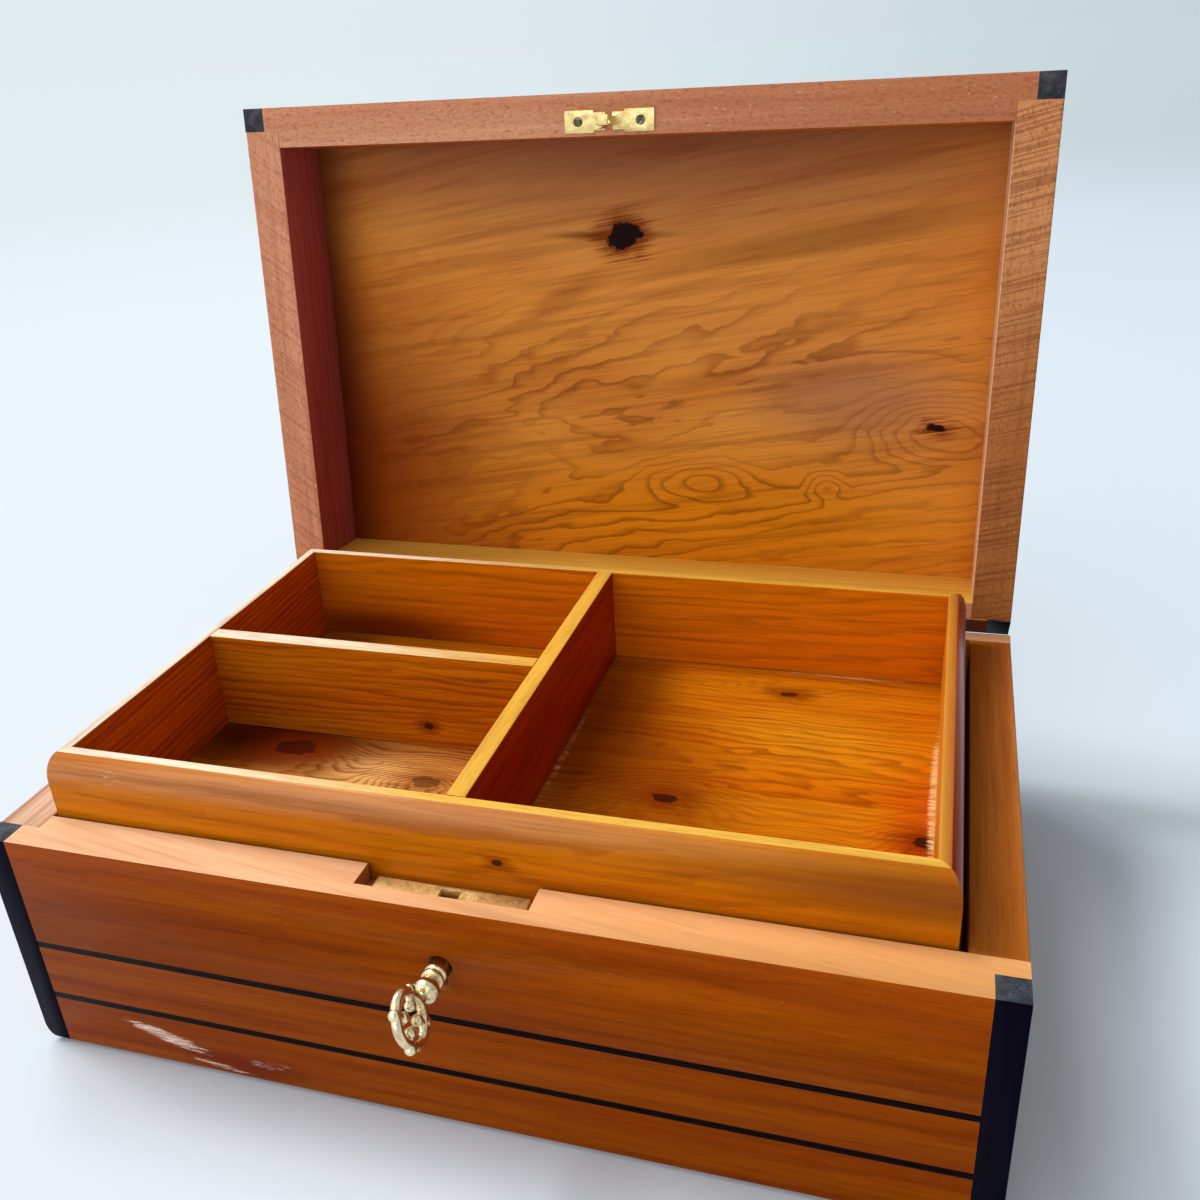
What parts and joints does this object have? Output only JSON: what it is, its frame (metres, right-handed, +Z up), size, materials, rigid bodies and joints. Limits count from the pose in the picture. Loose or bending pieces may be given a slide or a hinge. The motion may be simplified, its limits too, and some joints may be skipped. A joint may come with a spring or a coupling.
{
  "type": "hinged keepsake box",
  "caption": "Lidded wooden keepsake box with black corner posts, stop hinges, a lift-out divided tray and a link-plate lock with a key.",
  "frame": {"origin": "centre of the underside, where the box stands on a surface", "axes": "+Z up, +X to the right along the width, the front with the lock faces -Y"},
  "size_m": [0.3, 0.2745, 0.2729],
  "materials": {
    "box_wood": "gloss varnish",
    "tray_wood": "satin varnish",
    "black_wood": "gloss varnish",
    "brass": "worn",
    "brass_screws": "tarnished",
    "steel": "plain"
  },
  "bodies": {
    "base": {"front_board": "box_wood", "back_board": "box_wood", "left_board": "box_wood", "right_board": "box_wood", "post_front_left": "black_wood", "post_front_right": "black_wood", "post_back_left": "black_wood", "post_back_right": "black_wood", "bottom_panel": "box_wood", "front_lines": "black_wood", "back_lines": "black_wood", "left_lines": "black_wood", "right_lines": "black_wood", "ledge_left": "tray_wood", "ledge_right": "tray_wood", "hinge_base_leaf_left": "brass", "hinge_base_leaf_right": "brass", "hinge_pin_left": "steel", "hinge_pin_right": "steel", "hinge_base_screws": "brass_screws", "lock_plate": "brass", "lock_case": "brass", "lock_key_pin": "steel", "lock_stud": "steel", "lock_rivets": "brass", "lock_screws": "brass_screws"},
    "lid": {"lid_front_board": "box_wood", "lid_back_board": "box_wood", "lid_left_board": "box_wood", "lid_right_board": "box_wood", "lid_post_front_left": "black_wood", "lid_post_front_right": "black_wood", "lid_post_back_left": "black_wood", "lid_post_back_right": "black_wood", "lid_panel": "box_wood", "hinge_lid_leaf_left": "brass", "hinge_lid_leaf_right": "brass", "hinge_lid_screws": "brass_screws", "striker": "brass", "striker_screws": "brass_screws"},
    "tray": {"tray_front": "tray_wood", "tray_back": "tray_wood", "tray_left": "tray_wood", "tray_right": "tray_wood", "tray_floor": "tray_wood", "tray_partition": "tray_wood", "tray_cross_partition": "tray_wood"},
    "key": {"key": "brass"},
    "bolt": {"lock_bolt": "steel", "bolt_spring": "steel"}
  },
  "joints": [
    {"name": "lid_hinge", "type": "hinge", "parent": "base", "child": "lid", "pos_m": [0, 0.09365, 0.0821], "axis": [1, 0, 0], "range_deg": [0, 96]},
    {"name": "tray_lift", "type": "slide", "parent": "base", "child": "tray", "axis": [0, 0, 1], "range_m": [0, 0.06]},
    {"name": "key_turn", "type": "hinge", "parent": "base", "child": "key", "pos_m": [-0.0019, -0.09825, 0.062], "axis": [0, 1, 0], "range_deg": [0, 360]},
    {"name": "bolt_slide", "type": "slide", "parent": "base", "child": "bolt", "axis": [1, 0, 0], "range_m": [0, 0.0052]}
  ],
  "couplings": [
    {"joint": "bolt_slide", "follows": "key_turn", "m_per_rad": 0.0008276}
  ]
}
